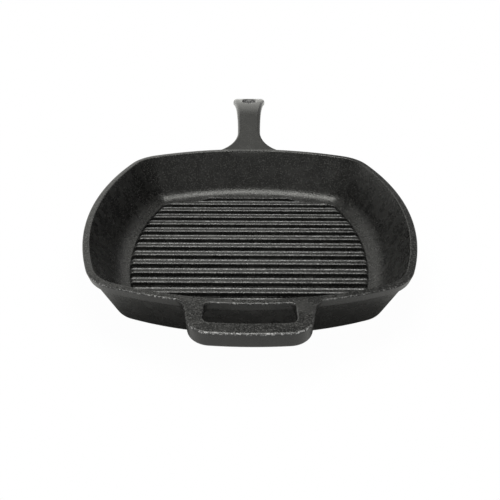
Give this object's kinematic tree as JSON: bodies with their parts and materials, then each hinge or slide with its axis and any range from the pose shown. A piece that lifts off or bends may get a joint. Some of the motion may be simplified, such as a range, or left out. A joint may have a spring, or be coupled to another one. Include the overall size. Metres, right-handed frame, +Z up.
{
  "type": "grill pan",
  "caption": "Square cast-iron grill pan with raised ribs across its floor, a long arched handle with a hanging hole, and a short slotted helper handle opposite.",
  "frame": {"origin": "centre of the flat base, on the plane that the pan stands on", "axes": "+Z up out of the pan, +Y towards the long handle, -Y towards the helper handle, ribs along X"},
  "size_m": [0.28, 0.4372, 0.0736],
  "materials": {
    "seasoned_iron": "seasoned black, fine sand-cast grain"
  },
  "bodies": {
    "root": {"base_plate": "seasoned_iron", "floor_border": "seasoned_iron", "floor_heel": "seasoned_iron", "side_wall": "seasoned_iron", "rim_lip": "seasoned_iron", "helper_handle": "seasoned_iron", "long_handle": "seasoned_iron", "rib_01": "seasoned_iron", "rib_02": "seasoned_iron", "rib_03": "seasoned_iron", "rib_04": "seasoned_iron", "rib_05": "seasoned_iron", "rib_06": "seasoned_iron", "rib_07": "seasoned_iron", "rib_08": "seasoned_iron", "rib_09": "seasoned_iron", "rib_10": "seasoned_iron", "rib_11": "seasoned_iron", "rib_12": "seasoned_iron", "rib_13": "seasoned_iron", "rib_14": "seasoned_iron"}
  },
  "joints": []
}
